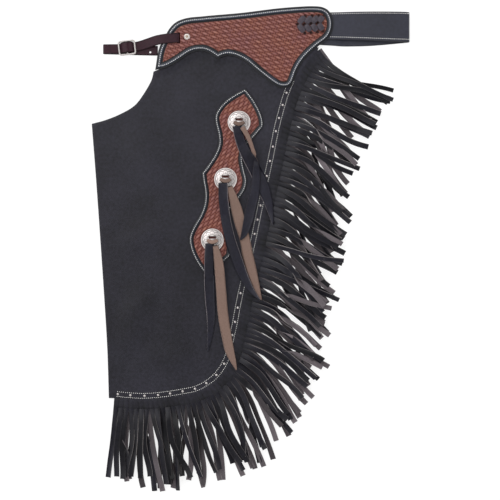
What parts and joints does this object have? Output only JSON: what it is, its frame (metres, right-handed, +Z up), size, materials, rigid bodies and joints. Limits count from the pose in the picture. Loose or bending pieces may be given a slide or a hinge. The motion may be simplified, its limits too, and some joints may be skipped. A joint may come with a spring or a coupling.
{
  "type": "leather chaps",
  "caption": "Fringed leather chaps folded flat as a pair, with tooled yoke, slotted conchos and strings, back belt and buckled front strap.",
  "frame": {"origin": "middle of the folded pair's footprint, on the surface that it lies on", "axes": "+X towards the fringed outer side, +Y up the garment to the yoke, +Z up from the surface"},
  "size_m": [0.5293, 0.807, 0.0198],
  "materials": {
    "black_leather": "smooth matt grain side",
    "border_leather": "smooth, slightly glossy edge border",
    "belt_leather": "smooth matt grain side",
    "tooled_leather": "basket-weave stamped, antiqued",
    "flesh_side": "napped underside",
    "string_flesh": "napped underside",
    "oxblood_leather": "smooth, waxed",
    "nickel_silver": "engraved and polished"
  },
  "bodies": {
    "root": {"belt": "belt_leather", "buckle": "nickel_silver", "concho_1": "nickel_silver", "concho_2": "nickel_silver", "concho_3": "nickel_silver", "fringe_top_1": "black_leather", "fringe_top_2": "black_leather", "fringe_top_3": "black_leather", "fringe_top_4": "black_leather", "fringe_under_1": "flesh_side", "fringe_under_2": "flesh_side", "fringe_under_3": "flesh_side", "fringe_under_4": "flesh_side", "lacing": "black_leather", "leg_top": "black_leather", "leg_under": "flesh_side", "plate_base": "border_leather", "plate_tooled": "tooled_leather", "rivet": "nickel_silver", "strap": "oxblood_leather", "string_1a": "black_leather", "string_1b": "string_flesh", "string_2a": "black_leather", "string_2b": "string_flesh", "string_3a": "black_leather", "string_3b": "string_flesh", "yoke_top_base": "border_leather", "yoke_top_tooled": "tooled_leather", "yoke_under": "border_leather"}
  },
  "joints": []
}
